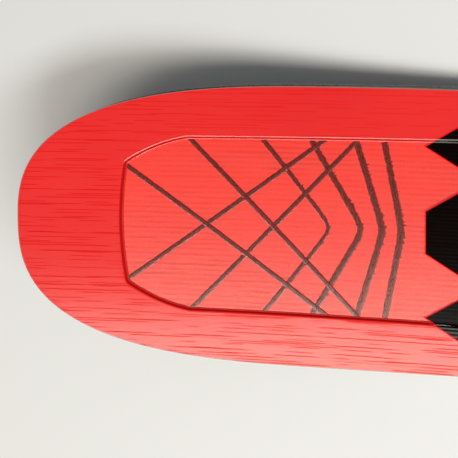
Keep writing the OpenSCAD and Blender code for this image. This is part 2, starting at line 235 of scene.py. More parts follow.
def rounded(path, corners, radius):
    """The path with an arc in place of each of the named corners."""
    steps, out = 6, []
    for i, p in enumerate(path):
        if i not in corners:
            out.append(p)
            continue
        a, b = path[i - 1] - p, path[(i + 1) % len(path)] - p
        a, b = a / np.linalg.norm(a), b / np.linalg.norm(b)
        half_angle = math.acos(np.clip(a @ b, -1, 1)) / 2
        reach = radius / math.tan(half_angle)
        centre = p + (a + b) / np.linalg.norm(a + b) * radius / math.sin(half_angle)
        start, end = p + a * reach - centre, p + b * reach - centre
        sweep = math.atan2(start[0] * end[1] - start[1] * end[0], start @ end)
        for k in range(steps + 1):
            t = sweep * k / steps
            out.append(centre + np.array([start[0] * math.cos(t) - start[1] * math.sin(t),
                                          start[0] * math.sin(t) + start[1] * math.cos(t)]))
    return np.array(out)


def bowed(a, b, bow, steps=6):
    """Points strictly between a and b on a curve that bows outwards."""
    a, b = np.array(a), np.array(b)
    out = np.array([a[1] - b[1], b[0] - a[0]]) / np.linalg.norm(b - a)
    return [tuple(a + (b - a) * t + out * bow * 4 * t * (1 - t))
            for t in (i / steps for i in range(1, steps))]


def window_path(d0, half0, run0, d1, half1, run1):
    """A window's wall, with its four corners on each side rounded."""
    a = (d0 + WINDOW_BOW, half0)
    b = (d0 + run0, window_half(d0 + run0))
    c = (d1 - run1, window_half(d1 - run1))
    e = (d1 - WINDOW_BOW, half1)
    side = [(d0, 0.0)] + bowed((d0, 0), a, WINDOW_BOW / 4) + [a] + bowed(a, b, SLANT_BOW) + [b]
    side += [(d, window_half(d)) for d in STATIONS if b[0] + 3 < d < c[0] - 3]
    side += [c] + bowed(c, e, SLANT_BOW) + [e] + bowed(e, (d1, 0), WINDOW_BOW / 4) + [(d1, 0.0)]
    path = closed(side)
    corners = {i for i, p in enumerate(path)
               if min(math.hypot(p[0] - q[0], abs(p[1]) - q[1]) for q in (a, b, c, e)) < 0.01}
    return rounded(path, corners, CORNER_ROUND)


SKI = closed([(d, half_width(d)) for d in STATIONS])
UPPER = inset(SKI, [top_inset(d) for d in SKI[:, 0]])
FRONT_WINDOW = window_path(WINDOW_AT, NOSE_HALF, SHOULDER_RUN, WINDOW_END, POINT_HALF, POINT_RUN)
REAR_WINDOW = window_path(
    REAR_FROM, POINT_HALF, POINT_RUN, REAR_TO, REAR_NOSE_HALF, REAR_SHOULDER_RUN)


def even(path, amount):
    """The path moved inwards by the same amount everywhere."""
    return inset(path, [amount] * len(path))


def inside(points, loops):
    """Whether each point lies within the loops, holes left out."""
    odd = np.zeros(len(points), bool)
    x, y = points[:, 0], points[:, 1]
    for loop in loops:
        for (x0, y0), (x1, y1) in zip(loop, np.roll(loop, -1, 0)):
            if y0 == y1:
                continue
            odd ^= ((y0 > y) != (y1 > y)) & (x < x0 + (y - y0) * (x1 - x0) / (y1 - y0))
    return odd


def fill(loops):
    """Points and triangles between an outer loop and its holes, with a grid of points between."""
    border = np.concatenate(loops)
    edges, first = [], 0
    for loop in loops:
        n = len(loop)
        edges += [(first + i, first + (i + 1) % n) for i in range(n)]
        first += n
    low, high = loops[0].min(0), loops[0].max(0)
    xs = np.arange(low[0] + GRID / 2, high[0], GRID)
    ys = np.arange(-math.floor(high[1] / GRID) * GRID, high[1], GRID)
    spots = np.array([(x, y) for x in xs for y in ys])
    spots = spots[inside(spots, loops)]
    gap = np.array([np.hypot(*(border - s).T).min() for s in spots])
    spots = spots[gap > GRID * GRID_CLEAR]
    points = np.concatenate([border, spots])
    found = delaunay_2d_cdt([Vector(p) for p in points], edges, [], 1, 1e-6)
    source = [ids[0] if ids else None for ids in found[3]]
    tris = np.array([[source[v] for v in face] for face in found[2]])
    middles = points[tris].mean(1)
    tris = tris[inside(middles, loops)]
    a, b, c = points[tris[:, 0]], points[tris[:, 1]], points[tris[:, 2]]
    area = (b[:, 0] - a[:, 0]) * (c[:, 1] - a[:, 1]) - (b[:, 1] - a[:, 1]) * (c[:, 0] - a[:, 0])
    tris[area < 0] = tris[area < 0][:, ::-1]
    return points, [tuple(t) for t in tris]


# ---------------------------------------------------------------- meshes
CREASE = 25.0  # degrees from which a corner of an edge or sidewall is drawn sharp


def make_piece(name, verts, faces, material, nodes, sharp=35.0):
    """A smooth-shaded piece from points in millimetres, counted from the tip; it replaces CAD nodes."""
    mesh = bpy.data.meshes.new(name)
    mesh.from_pydata([((x - LENGTH / 2) * MM, y * MM, z * MM) for x, y, z in verts], [], faces)
    mesh.validate()
    mesh.shade_smooth()
    mesh.set_sharp_from_angle(angle=math.radians(sharp))
    mesh.materials.append(material)
    piece = bpy.data.objects.new(name, mesh)
    bpy.context.scene.collection.objects.link(piece)
    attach(piece, "root")
    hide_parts(*nodes)
    return piece


def mark(piece, name, values):
    """Numbers from 0 to 1 on the points of a sheet's top, repeated on its underside."""
    held = piece.data.attributes.new(name, "FLOAT", "POINT")
    held.data.foreach_set("value", np.tile(np.array(values, float), 2))


def shell(points, tops, bottoms, faces, borders):
    """A closed sheet: a top, a bottom under it, and a wall along each border loop."""
    n = len(points)
    verts = [(p[0], p[1], z) for p, z in zip(points, tops)]
    verts += [(p[0], p[1], z) for p, z in zip(points, bottoms)]
    both = list(faces) + [tuple(v + n for v in reversed(f)) for f in faces]
    for loop in borders:
        for a, b in zip(loop, loop[1:] + loop[:1]):
            both.append((a, a + n, b + n, b))
    return verts, both


def loop_ids(loops):
    """Index lists of loops whose points follow each other; holes run the other way round."""
    ids, first = [], 0
    for k, loop in enumerate(loops):
        run = list(range(first, first + len(loop)))
        ids.append(run if k == 0 else run[::-1])
        first += len(loop)
    return ids


def plate(name, lower, upper, loops, material, nodes):
    """A layer of the ski between two levels."""
    points, faces = fill(loops)
    tops = [height(upper, p[0]) for p in points]
    bottoms = [height(lower, p[0]) for p in points]
    verts, both = shell(points, tops, bottoms, faces, loop_ids(loops))
    make_piece(name, verts, both, material, nodes)


def between(path, d0, d1):
    """The part of a path between two distances from the tip, cut straight across."""
    out = []
    for p, q in zip(path, np.roll(path, -1, 0)):
        if d0 <= p[0] <= d1:
            out.append(p)
        for cut in (d0, d1):
            if (p[0] - cut) * (q[0] - cut) < 0:
                t = (cut - p[0]) / (q[0] - p[0])
                out.append(p + (q - p) * t)
    return np.array(out)


def loft(sections):
    """Faces between sections that all have the same number of points, with both ends closed."""
    k = len(sections[0])
    verts = [v for s in sections for v in s]
    faces = [tuple(range(k - 1, -1, -1)), tuple(range((len(sections) - 1) * k, len(sections) * k))]
    for i in range(len(sections) - 1):
        for j in range(k):
            a, b = i * k + j, i * k + (j + 1) % k
            faces.append((a, b, b + k, a + k))
    return verts, faces


def step_drop(s):
    """How far the skin lies under the rim's level at distance s outside the frame's wall."""
    at, share = zip(*STEP_KNOTS)
    return (SKIN_TOP[0] - FLOOR_TOP[0]) * float(np.interp(s, at, share))


def make_topsheet(material):
    """The printed skin: rim, soft steps down into both windows, and the rear window's floor."""
    rings, drops = [], []
    for angle in ROUND_ANGLES:
        rings.append(even(UPPER, ROUND_R * (1 - math.cos(math.radians(angle)))))
        drops.append(ROUND_R * (1 - math.sin(math.radians(angle))))
    rings.append(even(UPPER, ROUND_R + FLAT_BAND))
    drops.append(0.0)
    outer = len(rings)
    for window in (FRONT_WINDOW, REAR_WINDOW):
        for s in [STEP_AT[0] + FLAT_BAND] + STEP_AT + [-STEP_IN - FLAT_BAND]:
            rings.append(even(window, -s))
            drops.append(step_drop(s))
    starts = np.concatenate([[0], np.cumsum([len(r) for r in rings])])
    ids = [list(range(starts[k], starts[k + 1])) for k in range(len(rings))]
    faces = []

    def strip(a, b):
        for i in range(len(a)):
            j = (i + 1) % len(a)
            faces.append((a[i], a[j], b[j], b[i]))

    for k in range(outer - 1):
        strip(ids[k], ids[k + 1])
    steps = len(STEP_AT) + 1
    front, rear = outer, outer + steps + 1
    for first in (front, rear):
        for k in range(first, first + steps):
            strip(ids[k], ids[k + 1])

    points = [p for r in rings for p in r]
    low = [d for r, d in zip(rings, drops) for _ in r]

    def patch(ring_numbers, drop):
        spots, tris = fill([rings[k] for k in ring_numbers])
        known = [i for k in ring_numbers for i in ids[k]]
        index = known + list(range(len(points), len(points) + len(spots) - len(known)))
        points.extend(spots[len(known):])
        low.extend([drop] * (len(spots) - len(known)))
        faces.extend(tuple(index[v] for v in t) for t in tris)

    patch([outer - 1, front, rear], 0.0)
    patch([rear + steps], drops[rear + steps])
    tops = [height(SKIN_TOP, p[0]) - d for p, d in zip(points, low)]
    deep = SKIN_TOP[0] - FLOOR_TOP[0]
    sunk = [0 if d < ON_FRAME * deep else d for d in low]
    under = [height(METAL_TOP, p[0]) - d for p, d in zip(points, sunk)]
    bottoms = [min(t - SKIN_LEAST, u) for t, u in zip(tops, under)]
    borders = [ids[0], ids[front + steps][::-1]]
    verts, both = shell(points, tops, bottoms, faces, borders)
    piece = make_piece("topsheet_skin", verts, both, material, ["topsheet"])
    mark_skin(piece, points, [0.0] * starts[outer] + [d / deep for d in low[starts[outer]:]])
    rounding = starts[len(ROUND_ANGLES)]
    mark(piece, "cut", [1.0] * rounding + [0.0] * (len(low) - rounding))


def mark_skin(piece, points, depths):
    """Marks the steps' walls, whose colour is painted darker as shade, the slopes that lie in shade and
    those that catch the light.
    A depth is 0 on the rim and 1 on a window's floor."""
    lit = [smooth((p[1] - NOSE_HALF + 1) / 3) for p in points]
    wall_shade = []
    for d, bright in zip(depths, lit):
        foot = smooth((0.98 - d) / 0.2) if bright > 0.5 else d < 0.999
        wall_shade.append(smooth((d - 0.02) / 0.2) * foot)
    slopes = [smooth(d / 0.01) * smooth((1 - d) / 0.015) for d in depths]
    # the "wall" mark says where the step's colour is painted darker as shade
    mark(piece, "wall", wall_shade)
    mark(piece, "shade", [slope * (1 - bright) for slope, bright in zip(slopes, lit)])
    mark(piece, "glint", [slope * bright for slope, bright in zip(slopes, lit)])


def make_edge(side, material):
    """A steel edge with a ground corner, from the tip's end round to the tail's end."""
    name = "edge_left" if side < 0 else "edge_right"
    chamfer = 0.15
    flat = EDGE_W + ANCHOR_W
    top = EDGE_TOP[0]
    section = [(chamfer, 0), (0, chamfer), (0, top - chamfer), (chamfer, top), (flat, top),
               (flat, BASE_T), (EDGE_W, BASE_T), (EDGE_W, 0)]
    count = len(STATIONS)
    runs = []
    for amount, rise in section:
        path = even(SKI, amount)[:count]
        runs.append([(d, side * -y, underside(d) + rise) for d, y in path])
    sections = [list(points) for points in zip(*runs)]
    if side < 0:
        sections = [s[::-1] for s in sections]
    verts, faces = loft(sections)
    make_piece(name + "_steel", verts, faces, material, [name], CREASE)


def make_sidewall(side, material):
    """A sidewall whose outer face leans in from the edge to the topsheet."""
    name = "sidewall_left" if side < 0 else "sidewall_right"
    upright, eased = 0.15, 0.05
    sections = []
    for d in BODY:
        inner = half_width(d) - SIDEWALL_W
        foot = half_width(d) - EDGE_PROUD
        head = half_width(d) - top_inset(d)
        low, high = height(LOWER_TOP, d), height(CORE_TOP, d)
        row = [(inner, low), (foot, low), (foot, low + upright)]
        row += [(head + eased, high - 2 * eased), (head - eased, high), (inner, high)]
        sections.append([(d, side * y, z) for y, z in row])
    if side > 0:
        sections = [s[::-1] for s in sections]
    verts, faces = loft(sections)
    make_piece(name + "_bevelled", verts, faces, material, [name], CREASE)


# ---------------------------------------------------------------- strands
CHEVRONS = [(64.0, 97.0, 2.6), (87.4, 112.1, 3.2), (109.3, 122.1, 3.5), (122.8, 131.1, 3.4)]
CHEVRON_ROUND = 3.0
STRAND_W = 2.3
LONG_HALF = 26.8
LONG_REACH, SHORT_REACH = 96.8, 111.6
CHEVRON_LEVEL, LEFT_LEVEL, RIGHT_LEVEL = 0, 1, 2
CHEVRON_SHARE = 0.92  # share of its named width that a chevron has away from its point
CHEVRON_SWELL = (-0.24, 0.04, 0.08, 0.18)  # what each chevron's point adds to that share
SWELL_REACH = 12.0
STRAIGHT_FRAY, CHEVRON_FRAY = 0.05, 0.14  # how uneven the sides are, as a share of half the width
HAIRS = 0.7  # how far single threads stand out near a chevron's point, as the same share
HAIR_CHANCE, HAIR_REACH = 0.3, 16.0
HAIR_LEAST = 0.4  # shortest hair, as a share of the longest
# A strand's colour is painted paler on the side that faces this way, standing in for light, and darker
# on the other side, standing in for its shadow on the mat.
PAINTED_LIGHT_SIDE = np.array([0.7, -0.7])  # a strand stays pale on the side that faces this way
SHARES = (-1.0, -0.86, -0.4, 0.4, 0.86, 1.0)  # points across a strand
CROWN = (0.8, 1.0, 1.0, 1.0, 1.0, 0.8)  # share of its thickness at those points
STRAIGHT_STEP, CHEVRON_STEPS = 0.8, 260
CHEVRON_GAP = 0.4  # from a chevron's end to the window's wall
ROUND_CREASE = 60.0  # degrees from which a corner of a strand is drawn sharp


def ribbon(name, line, widths, level, material, fray, hairs=0.0):
    """A flat bundle of filaments along a line, with an uneven edge. Its "run" attribute holds how far
    along and across a point lies, and how far it lies towards the side whose colour is painted as lit
    rather than shaded; its "depth" is 0 on both edges and 1 in the middle."""
    rng = random.Random(name)
    line = np.array(line)
    along = np.gradient(line, axis=0)
    along /= np.linalg.norm(along, axis=1)[:, None]
    across = np.stack([-along[:, 1], along[:, 0]], 1)
    travel = np.concatenate([[0], np.cumsum(np.linalg.norm(np.diff(line, axis=0), axis=1))])
    # how far each point lies towards the side that is painted as lit
    pale = across @ PAINTED_LIGHT_SIDE
    sections, run = [], []
    for p, n, way, side, width in zip(line, across, travel, pale, widths):
        uneven = [1 + fray * rng.uniform(-1, 1) for _ in range(2)]
        if rng.random() < HAIR_CHANCE * math.exp(-abs(p[1]) / HAIR_REACH):
            uneven[0] += hairs * rng.uniform(HAIR_LEAST, 1.0)
        wide = [width / 2 * s * uneven[s > 0] for s in SHARES]
        spots = [p + n * w for w in wide]
        bottoms = [height(STRAND_FLOOR, spot[0]) + level * STRAND_T for spot in spots]
        top = [(*spot, z + STRAND_T * c) for spot, z, c in zip(spots, bottoms, CROWN)]
        low = [(*spot, z) for spot, z in zip(spots, bottoms)]
        sections.append(low + top[::-1])
        marks = [(way, w, s * side) for w, s in zip(wide, SHARES)]
        run += marks + marks[::-1]
    verts, faces = loft(sections)
    piece = make_piece(name + "_fibre", verts, faces, material, [name], ROUND_CREASE)
    held = piece.data.attributes.new("run", "FLOAT_VECTOR", "POINT")
    held.data.foreach_set("vector", np.array(run).ravel())
    inner = [1 - abs(s) for s in SHARES]
    held = piece.data.attributes.new("depth", "FLOAT", "POINT")
    held.data.foreach_set("value", (inner + inner[::-1]) * len(line))


def straight_line(side, d0, half0, d1):
    """Points from one side of the front window to a place on the other side."""
    a = np.array([d0, side * half0])
    b = np.array([d1, -side * window_half(d1)])
    count = int(np.linalg.norm(b - a) / STRAIGHT_STEP)
    return [a + (b - a) * i / count for i in range(count + 1)]


def chevron_line(ends, point):
    """Points along a chevron, from its left end over its rounded point to its right end."""
    rows = []
    for i in range(CHEVRON_STEPS + 1):
        y = (2 * i / CHEVRON_STEPS - 1) * (SHOULDER_HALF - CHEVRON_GAP)
        reach = (math.hypot(y, CHEVRON_ROUND) - CHEVRON_ROUND) / SHOULDER_HALF
        rows.append((WINDOW_AT + point - (point - ends) * reach, y))
    return rows


# ---------------------------------------------------------------- shader helpers
class Tree:
    """Adds nodes to a material or a group, and links them as they are added."""

    def __init__(self, tree):
        self.nodes, self.links = tree.nodes, tree.links

    def add(self, kind, inputs=None, **settings):
        node = self.nodes.new(kind)
        for key, value in settings.items():
            setattr(node, key, value)
        return self.feed(node, inputs or {})

    def feed(self, node, inputs):
        """Links or sets each of the named inputs of a node."""
        for key, value in inputs.items():
            if isinstance(value, bpy.types.NodeSocket):
                self.links.new(value, node.inputs[key])
            else:
                node.inputs[key].default_value = value
        return node

    def maths(self, operation, a, b=0.0, clamp=False):
        node = self.add("ShaderNodeMath", {0: a, 1: b}, operation=operation, use_clamp=clamp)
        return node.outputs[0]

    def product(self, *values):
        """All the values multiplied together."""
        out = values[0]
        for value in values[1:]:
            out = self.maths("MULTIPLY", out, value)
        return out

    def ramp(self, value, low, high, to_low=0.0, to_high=1.0, soft=True):
        """The value carried from low..high to to_low..to_high, and held at both ends."""
        names = {"Value": value, "From Min": low, "From Max": high,
                 "To Min": to_low, "To Max": to_high}
        kind = "SMOOTHSTEP" if soft else "LINEAR"
        return self.add("ShaderNodeMapRange", names, interpolation_type=kind).outputs["Result"]

    def mix(self, share, a, b):
        """A colour between a and b; a Mix node's sockets 6 and 7 are its two colours."""
        return self.add("ShaderNodeMix", {0: share, 6: a, 7: b}, data_type="RGBA").outputs[2]

    def split(self, vector):
        return self.add("ShaderNodeSeparateXYZ", {"Vector": vector}).outputs

    def join(self, x, y):
        return self.add("ShaderNodeCombineXYZ", {"X": x, "Y": y}).outputs["Vector"]

    def stretched(self, vector, x, y, z=0.0):
        """The vector with each part multiplied by a number of its own."""
        node = self.add("ShaderNodeVectorMath", {0: vector, 1: (x, y, z)}, operation="MULTIPLY")
        return node.outputs["Vector"]

    def mark(self, name):
        """A number that the mesh carries on its points."""
        return self.add("ShaderNodeAttribute", attribute_name=name).outputs["Fac"]

    def place(self):
        """Place on the ski in metres, from the middle of its length."""
        return self.add("ShaderNodeTexCoord").outputs["Object"]

    def noise(self, vector, detail=2.0, scale=1.0):
        names = {"Vector": vector, "Scale": scale, "Detail": detail}
        return self.add("ShaderNodeTexNoise", names).outputs["Fac"]

    def group(self, tree, inputs):
        return self.add("ShaderNodeGroup", inputs, node_tree=tree).outputs


def new_group(name, numbers, outputs):
    """A shader group that takes a place on the ski and some numbers; gives its tree and sockets."""
    tree = bpy.data.node_groups.new(name, "ShaderNodeTree")
    tree.interface.new_socket("Place", in_out="INPUT", socket_type="NodeSocketVector")
    for number, value in numbers.items():
        socket = tree.interface.new_socket(number, in_out="INPUT", socket_type="NodeSocketFloat")
        socket.default_value = value
    for output in outputs:
        tree.interface.new_socket(output, in_out="OUTPUT", socket_type="NodeSocketFloat")
    start, end = tree.nodes.new("NodeGroupInput"), tree.nodes.new("NodeGroupOutput")
    return tree, Tree(tree), start.outputs, end.inputs


# Dashes: how far lanes are shifted along and kept apart in the noise, how soon a dash grows to its
# full thickness, and how soft its sides are
LANE_SHIFT, LANE_APART = 91.0, 7.3
DASH_TAPER, DASH_SOFT = 0.12, 0.035


def make_dash_group():
    """Thin dashes along the ski that taper at both ends, one lane beside the other."""
    tree, t, given, out = new_group(
        "lengthwise_dashes",
        {"Length": 0.02, "Pitch": 0.002, "Cover": 0.5, "Thick": 0.1, "Offset": 0.0}, ["Mask"])
    x, y, _ = t.split(given["Place"])
    lanes = t.maths("ADD", t.maths("DIVIDE", y, given["Pitch"]), given["Offset"])
    lane = t.maths("FLOOR", lanes)
    spread = t.add("ShaderNodeTexWhiteNoise", {"W": lane}, noise_dimensions="1D")
    first, second, _ = t.split(spread.outputs["Color"])
    middle = t.ramp(first, 0.0, 1.0, 0.25, 0.75, soft=False)
    run = t.maths("ADD", t.maths("DIVIDE", x, given["Length"]), t.product(second, LANE_SHIFT))
    value = t.noise(t.join(run, t.product(lane, LANE_APART)), detail=0.0)
    bare = t.maths("SUBTRACT", 0.75, t.product(given["Cover"], 0.5))
    half = t.product(t.ramp(t.maths("SUBTRACT", value, bare), 0.0, DASH_TAPER), given["Thick"])
    away = t.maths("ABSOLUTE", t.maths("SUBTRACT", t.maths("FRACT", lanes), middle))
    share = t.maths("DIVIDE", t.maths("SUBTRACT", half, away), DASH_SOFT, clamp=True)
    t.links.new(share, out["Mask"])
    return tree


TURN = 2 * math.pi
RIB_DRIFT = 0.0009  # how far a rib wanders sideways, in metres


def make_weave_group():
    """Glass cloth: ribs along the ski, fainter ribs across it, and an uneven hand."""
    tree, t, given, out = new_group(
        "glass_weave", {"Rib": 0.0024, "Cross": 0.0012}, ["Rib mask", "Height"])
    place = given["Place"]
    x, y, _ = t.split(place)
    drift = t.product(t.noise(t.stretched(place, 30.0, 90.0)), RIB_DRIFT)
    lane = t.maths("DIVIDE", t.maths("ADD", y, drift), given["Rib"])
    rib = t.maths("SINE", t.product(lane, TURN))
    fine = t.maths("SINE", t.product(lane, 3 * TURN))
    cross = t.maths("SINE", t.product(t.maths("DIVIDE", x, given["Cross"]), TURN))
    hand = t.noise(t.stretched(place, 60.0, 700.0), detail=3.0)
    both = t.maths("ADD", t.product(rib, 0.5), t.product(fine, 0.25))
    both = t.maths("ADD", both, t.product(cross, 0.15))
    mask = t.product(t.maths("ADD", t.product(both, 0.5), 0.5), hand)
    t.links.new(mask, out["Rib mask"])
    t.links.new(both, out["Height"])
    return tree


COS_30 = math.sqrt(0.75)
SMALLEST = 0.05  # the row ends where a hexagon would be smaller than this share of the first


def make_hexagon_group():
    """A row of hexagons down the middle with diamonds beside it, smaller from one to the next."""
    tree, t, given, out = new_group(
        "hexagon_print", {"First": 0.2076, "Side": 0.0189, "Pitch": 0.036, "Beside": 0.0385,
                          "Fade": 0.14, "Grow": 0.0, "Half length": LENGTH / 2 * MM}, ["Mask"])
    x, y, _ = t.split(given["Place"])
    y = t.maths("ABSOLUTE", y)
    from_end = t.maths("SUBTRACT", given["Half length"], t.maths("ABSOLUTE", x))
    along = t.maths("DIVIDE", t.maths("SUBTRACT", from_end, given["First"]), given["Pitch"])
    number = t.maths("MAXIMUM", t.maths("ROUND", along), 0.0)
    local = t.maths("ABSOLUTE", t.product(t.maths("SUBTRACT", along, number), given["Pitch"]))
    size = t.maths("SUBTRACT", 1.0, t.product(number, given["Fade"]))
    flat = t.product(given["Side"], COS_30)
    slant = t.maths("ADD", t.product(local, 0.5), t.product(y, COS_30))
    reach = t.maths("ADD", t.product(flat, size), given["Grow"])
    hexagon = t.maths("LESS_THAN", t.maths("MAXIMUM", local, slant), reach)
    beside = t.maths("ABSOLUTE", t.maths("SUBTRACT", y, given["Beside"]))
    slope = t.maths("ADD", t.product(local, 0.5), t.product(beside, COS_30))
    edge = t.maths("ADD", t.product(flat, 0.5, size), given["Grow"])
    diamond = t.maths("LESS_THAN", slope, edge)
    shown = t.maths("GREATER_THAN", size, SMALLEST)
    t.links.new(t.product(t.maths("MAXIMUM", hexagon, diamond), shown), out["Mask"])
    return tree


# Boot marks, in metres: half a mark's thickness and half its length, what the middle one has more,
# and how near to the middle a mark must be to be the middle one
TICK_HALF, TICK_REACH, MIDDLE_EXTRA, MIDDLE_NEAR = 0.00035, 0.004, 0.006, 0.001


def make_tick_group():
    """Short marks across the ski round the boot's middle, the middle one longer."""
    tree, t, given, out = new_group(
        "boot_ticks", {"Middle": (BOOT_D - LENGTH / 2) * MM, "Step": 0.005, "Reach": 0.0275}, ["Mask"])
    x, y, _ = t.split(given["Place"])
    away = t.maths("SUBTRACT", x, given["Middle"])
    steps = t.maths("DIVIDE", away, given["Step"])
    beyond = t.maths("SUBTRACT", steps, t.maths("ROUND", steps))
    line = t.maths("LESS_THAN", t.maths("ABSOLUTE", t.product(beyond, given["Step"])), TICK_HALF)
    near = t.maths("LESS_THAN", t.maths("ABSOLUTE", away), given["Reach"])
    middle = t.maths("LESS_THAN", t.maths("ABSOLUTE", away), MIDDLE_NEAR)
    reach = t.maths("ADD", TICK_REACH, t.product(middle, MIDDLE_EXTRA))
    short = t.maths("LESS_THAN", t.maths("ABSOLUTE", y), reach)
    t.links.new(t.product(line, near, short), out["Mask"])
    return tree


DASHES = make_dash_group()
WEAVE = make_weave_group()
HEXAGONS = make_hexagon_group()
TICKS = make_tick_group()


def new_material(name, **shader):
    """A material with a Principled shader whose plain numbers are set on its own sockets."""
    material = bpy.data.materials.new(name)
    material.use_nodes = True
    t = Tree(material.node_tree)
    principled = t.nodes["Principled BSDF"]
    for key, value in shader.items():
        principled.inputs[key.replace("_", " ")].default_value = value
    return material, t, principled


def bump(t, principled, heights, depth):
    node = t.add("ShaderNodeBump", {"Height": heights, "Distance": depth})
    t.links.new(node.outputs["Normal"], principled.inputs["Normal"])


RED, PALER_RED = (0.78, 0.019, 0.018, 1), (0.82, 0.023, 0.021, 1)
# the second colour here is painted shade: the darker red that the steps' walls are coloured, standing
# in for the shadow in the step
DEEP_RED, SHADED_WALL_RED = (0.68, 0.006, 0.006, 1), (0.45, 0.006, 0.006, 1)
CUT_PLASTIC, TICK_WHITE = (0.36, 0.20, 0.18, 1), (0.75, 0.75, 0.72, 1)
PRINT_BLACK, PRINT_EDGE = (0.003, 0.001, 0.001, 1), (0.75, 0.0, 0.01, 1)
EDGE_GROW = 0.0005  # width of the print's thin red edge, in metres
CLEAR_RED = (0.86, 0.030, 0.024, 1)
MAT_RED, MAT_DULL = (0.97, 0.036, 0.021, 1), (0.92, 0.046, 0.030, 1)
MAT_RIB = (0.62, 0.030, 0.020, 1)
FIBRE_BLACK, FIBRE_BROWN = (0.010, 0.001, 0.0005, 1), (0.120, 0.008, 0.001, 1)
# the next two colours are painted light and shade: a dark red-black for a strand's side in shadow and a
# greyer brown for its lit side
FIBRE_PAINTED_SHADOW, FIBRE_PAINTED_LIT = (0.060, 0.001, 0.001, 1), (0.150, 0.070, 0.055, 1)
PORE_BROWN = (0.16, 0.09, 0.05, 1)
# Three layers of dashes: length and spacing in metres, cover, thickness and offset of the lanes
DASH_LAYERS = [(0.032, 0.0031, 0.62, 0.085, 0.0), (0.018, 0.0024, 0.58, 0.095, 0.37),
               (0.026, 0.0042, 0.54, 0.055, 0.71)]
PRINT_CLOTH = {"Rib": 0.0017, "Cross": 0.0015}  # the weave that shows through the print
# The dashes are strong as far as the first distance from the tip and faint from the second on
STRONG_TO, FAINT_FROM = 20, 110


def printed(t, place, ground):
    """The ground colour with the black print and its thin red edge over it; also the masks of the
    print alone and of print and edge together."""
    mask = t.group(HEXAGONS, {"Place": place})["Mask"]
    halo = t.group(HEXAGONS, {"Place": place, "Grow": EDGE_GROW})["Mask"]
    colour = t.mix(halo, ground, PRINT_EDGE)
    return t.mix(mask, colour, PRINT_BLACK), mask, halo


def red_skin():
    """Clear gloss over red plastic with lengthwise dashes, the black print and the boot marks."""
    material, t, p = new_material(
        "printed_red_skin", Specular_IOR_Level=0.04, Coat_Roughness=0.13, Coat_IOR=1.6)
    place = t.place()
    dashes = 0.0
    for values in DASH_LAYERS:
        given = dict(zip(("Length", "Pitch", "Cover", "Thick", "Offset"), values), Place=place)
        dashes = t.maths("MAXIMUM", dashes, t.group(DASHES, given)["Mask"])
    cloud = t.noise(place, scale=9.0)
    ground = t.mix(t.ramp(cloud, 0.35, 0.7), RED, PALER_RED)
    x = t.split(place)[0]
    strong = t.ramp(x, (STRONG_TO - LENGTH / 2) * MM, (FAINT_FROM - LENGTH / 2) * MM, 0.9, 0.4)
    ground = t.mix(t.product(dashes, strong), ground, DEEP_RED)
    # painted shade: the steps' walls are coloured a darker red where the "wall" mark is high
    ground = t.mix(t.mark("wall"), ground, SHADED_WALL_RED)
    colour, mask, halo = printed(t, place, ground)
    colour = t.mix(t.group(TICKS, {"Place": place})["Mask"], colour, TICK_WHITE)
    t.links.new(t.mix(t.mark("cut"), colour, CUT_PLASTIC), p.inputs["Base Color"])
    gloss = t.product(t.maths("SUBTRACT", 1.0, halo), t.ramp(dashes, 0.0, 0.8, 1.0, 0.05))
    cloth = t.group(WEAVE, {"Place": place, **PRINT_CLOTH})
    woven = t.product(mask, t.ramp(cloth["Rib mask"], 0.15, 0.45, 0.0, 0.55))
    gloss = t.maths("MAXIMUM", t.maths("MAXIMUM", gloss, woven), t.mark("glint"))
    gloss = t.product(gloss, t.maths("SUBTRACT", 1.0, t.mark("shade")))
    t.links.new(gloss, p.inputs["Coat Weight"])
    t.links.new(t.ramp(mask, 0.0, 1.0, 0.5, 0.12), p.inputs["Roughness"])
    relief = t.maths("SUBTRACT", t.product(cloth["Height"], mask, 0.4), dashes)
    bump(t, p, relief, 0.000004)
    return material


def window_skin():
    """The thin clear film over the strands, opaque where it is printed."""
    material, t, p = new_material(
        "clear_red_skin", Specular_IOR_Level=0.05, Coat_Roughness=0.16, Coat_IOR=1.6)
    place = t.place()
    cloth = t.group(WEAVE, {"Place": place})
    colour, mask, halo = printed(t, place, CLEAR_RED)
    t.links.new(colour, p.inputs["Base Color"])
    veil = t.ramp(cloth["Rib mask"], 0.1, 0.6, 0.045, 0.07)
    t.links.new(t.maths("MAXIMUM", veil, halo), p.inputs["Alpha"])
    woven = t.group(WEAVE, {"Place": place, **PRINT_CLOTH})["Rib mask"]
    t.links.new(t.product(mask, t.ramp(woven, 0.15, 0.45, 0.0, 0.06)), p.inputs["Coat Weight"])
    t.links.new(t.ramp(mask, 0.0, 1.0, 0.4, 0.12), p.inputs["Roughness"])
    calm = t.ramp(mask, 0.0, 1.0, 1.0, 0.15)
    bump(t, p, t.product(cloth["Height"], calm), 0.00001)
    return material


def window_mat():
    """Glass cloth in red resin."""
    material, t, p = new_material(
        "red_glass_mat", Roughness=0.5, Specular_IOR_Level=0.1, Coat_Roughness=0.2, Coat_IOR=1.75)
    place = t.place()
    cloth = t.group(WEAVE, {"Place": place})
    haze = t.noise(t.stretched(place, 7.0, 60.0), detail=3.0)
    ground = t.mix(t.ramp(haze, 0.42, 0.72), MAT_RED, MAT_DULL)
    patch = t.noise(t.stretched(place, 14.0, 22.0), detail=1.0)
    dark = t.product(t.ramp(cloth["Rib mask"], 0.15, 0.5), t.ramp(patch, 0.35, 0.7, 0.15, 0.65))
    t.links.new(t.mix(dark, ground, MAT_RIB), p.inputs["Base Color"])
    t.links.new(t.ramp(cloth["Rib mask"], 0.1, 0.55, 1.0, 0.7), p.inputs["Coat Weight"])
    bump(t, p, cloth["Height"], 0.00002)
    return material


